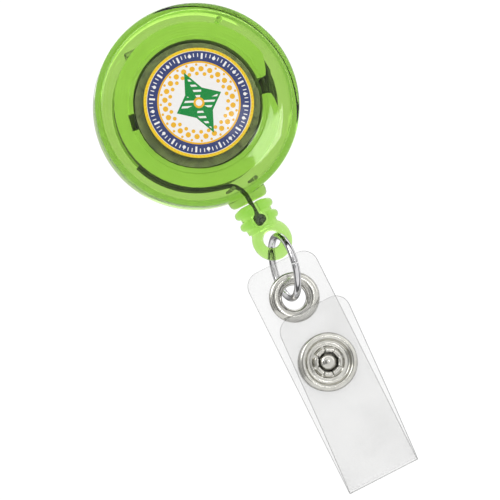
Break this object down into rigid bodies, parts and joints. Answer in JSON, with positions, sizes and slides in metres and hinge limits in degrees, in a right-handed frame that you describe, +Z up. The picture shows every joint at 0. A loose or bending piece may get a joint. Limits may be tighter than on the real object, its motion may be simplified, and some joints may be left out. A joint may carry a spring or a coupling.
{
  "type": "retractable badge reel",
  "caption": "Round translucent retractable badge reel with a printed face, slip-on belt clip, link ring and clear vinyl snap strap.",
  "frame": {"origin": "in the middle of the belt gap, on the axis of the round case", "axes": "+Z up as worn, towards the clip's bend; -Y the way the face looks, away from the wearer; the strap hangs along -Z"},
  "size_m": [0.032, 0.0166, 0.0809],
  "materials": {
    "lime_case": "glossy translucent lime polycarbonate",
    "lime_spool": "translucent lime polypropylene, satin",
    "lime_fitting": "glossy translucent lime plastic",
    "printed_label": "white film with a printed ring and star motif",
    "spring_steel": "dark oiled spring strip",
    "pin_steel": "drawn wire",
    "dark_cord": "braided dark nylon",
    "ring_chrome": "bright nickel-chrome wire",
    "warm_nickel": "polished warm nickel plate with fine pressing marks",
    "clear_vinyl": "clear flexible vinyl",
    "clip_steel": "nickel-plated spring strip"
  },
  "bodies": {
    "case": {"front_shell": "lime_case", "back_shell": "lime_case", "label_disc": "printed_label", "guide_pin_left": "pin_steel", "guide_pin_right": "pin_steel", "cord_run": "dark_cord", "clip_base": "clip_steel", "clip_rivet": "clip_steel"},
    "spool": {"spool": "lime_spool", "mainspring": "spring_steel", "cord_coil": "dark_cord"},
    "cord_end": {"cord_lead": "dark_cord", "cord_knot": "dark_cord", "end_fitting": "lime_fitting"},
    "link": {"link_ring": "ring_chrome"},
    "strap": {"strap_back": "clear_vinyl", "eyelet": "warm_nickel", "eyelet_washer": "warm_nickel", "snap_stud": "warm_nickel", "snap_cap": "warm_nickel"},
    "flap": {"strap_flap": "clear_vinyl", "snap_socket": "warm_nickel", "snap_backing": "warm_nickel"},
    "clip_tongue": {"clip_tongue": "clip_steel"}
  },
  "joints": [
    {"name": "pull", "type": "slide", "parent": "case", "child": "cord_end", "axis": [0, 0, -1], "range_m": [0, 0.8], "stiffness_N_per_m": 0.8, "springref_m": -0.6, "deforming": ["cord_lead"]},
    {"name": "spool_spin", "type": "hinge", "parent": "case", "child": "spool", "pos_m": [0, -0.00714, 0], "axis": [0, -1, 0], "range_deg": [0, 3840]},
    {"name": "ring_swing", "type": "hinge", "parent": "cord_end", "child": "link", "pos_m": [0.00135, -0.00714, -0.0239], "axis": [0, 1, 0], "range_deg": [-70, 70]},
    {"name": "strap_tilt", "type": "hinge", "parent": "link", "child": "strap", "pos_m": [0.00035, -0.00729, -0.03083], "axis": [1, 0, 0], "range_deg": [-50, 50]},
    {"name": "flap_open", "type": "hinge", "parent": "strap", "child": "flap", "pos_m": [0.00035, -0.00741, -0.0644], "axis": [1, 0, 0], "range_deg": [0, 150]},
    {"name": "clip_open", "type": "hinge", "parent": "case", "child": "clip_tongue", "pos_m": [0, 0, 0.011], "axis": [1, 0, 0], "range_deg": [0, 12], "stiffness_Nm_per_rad": 0.05}
  ],
  "couplings": [
    {"joint": "spool_spin", "follows": "pull", "rad_per_m": 83.3}
  ]
}
